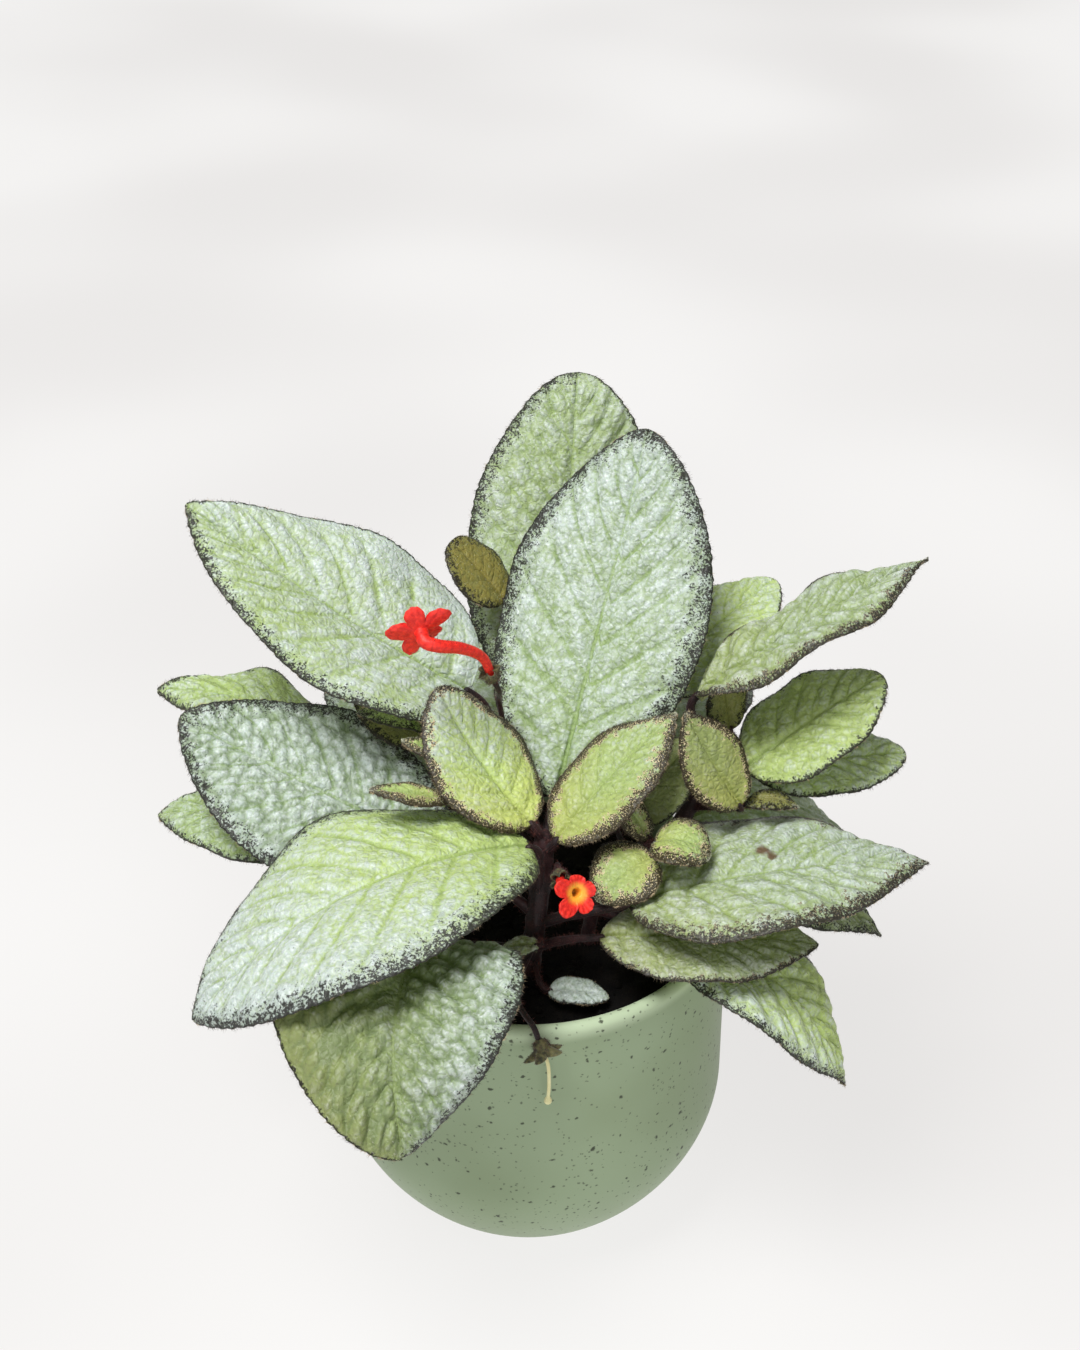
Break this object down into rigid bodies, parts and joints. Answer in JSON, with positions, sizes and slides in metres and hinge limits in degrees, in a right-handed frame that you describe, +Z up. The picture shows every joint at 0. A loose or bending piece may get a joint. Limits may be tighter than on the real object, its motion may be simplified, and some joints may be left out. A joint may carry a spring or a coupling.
{
  "type": "potted silver sheen episcia",
  "caption": "Silver-leaved creeping houseplant with quilted dark-edged blades and small red tubular flowers, in a glazed round-bellied planter.",
  "frame": {"origin": "middle of the pot's foot, on the surface it stands on", "axes": "+Z up along the pot's axis, -Y the plant's front as the picture shows it, +X its right"},
  "size_m": [0.2236, 0.2295, 0.2295],
  "materials": {
    "glaze": "satin",
    "soil": "matte",
    "stem": "matte",
    "leaf_silver": "satin",
    "leaf_green": "satin",
    "leaf_olive": "satin",
    "calyx": "matte",
    "flower": "matte",
    "style": "satin"
  },
  "bodies": {
    "root": {"pot": "glaze", "soil": "soil", "stem_main": "stem", "stem_right": "stem", "stem_front": "stem", "stem_back": "stem", "leaf_top_back": "leaf_silver", "leaf_tall": "leaf_silver", "leaf_upper_left": "leaf_silver", "leaf_left": "leaf_silver", "leaf_front_left": "leaf_silver", "leaf_hanging_left": "leaf_silver", "leaf_right_front": "leaf_silver", "leaf_right_under": "leaf_silver", "leaf_hanging_right": "leaf_green", "leaf_right_low": "leaf_silver", "leaf_right_upper": "leaf_silver", "leaf_back_green": "leaf_green", "leaf_right_oval": "leaf_green", "leaf_right_oval_under": "leaf_silver", "leaf_olive": "leaf_olive", "leaf_left_back": "leaf_silver", "leaf_left_low": "leaf_silver", "leaf_dark_back": "leaf_olive", "leaf_small_curled": "leaf_green", "leaf_young_left": "leaf_green", "leaf_young_right": "leaf_green", "leaf_underside": "leaf_silver", "leaf_hairy_curved": "leaf_green", "leaf_olive_right": "leaf_olive", "leaf_brown_small": "leaf_olive", "leaf_small_hairy": "leaf_green", "leaf_small_top": "leaf_green", "leaf_baby_triangle": "leaf_green", "leaf_baby_round": "leaf_green", "leaf_baby_heart": "leaf_green", "leaf_on_soil": "leaf_silver", "leaf_inner_small": "leaf_silver", "leaf_back_left": "leaf_silver", "leaf_back_middle": "leaf_silver", "leaf_back_right": "leaf_silver", "leaf_back_hanging": "leaf_silver", "leaf_back_low_right": "leaf_silver", "leaf_back_small": "leaf_green", "calyx_left": "calyx", "flower_left": "flower", "calyx_front": "calyx", "flower_front": "flower", "calyx_spent": "calyx", "style_spent": "style"}
  },
  "joints": []
}
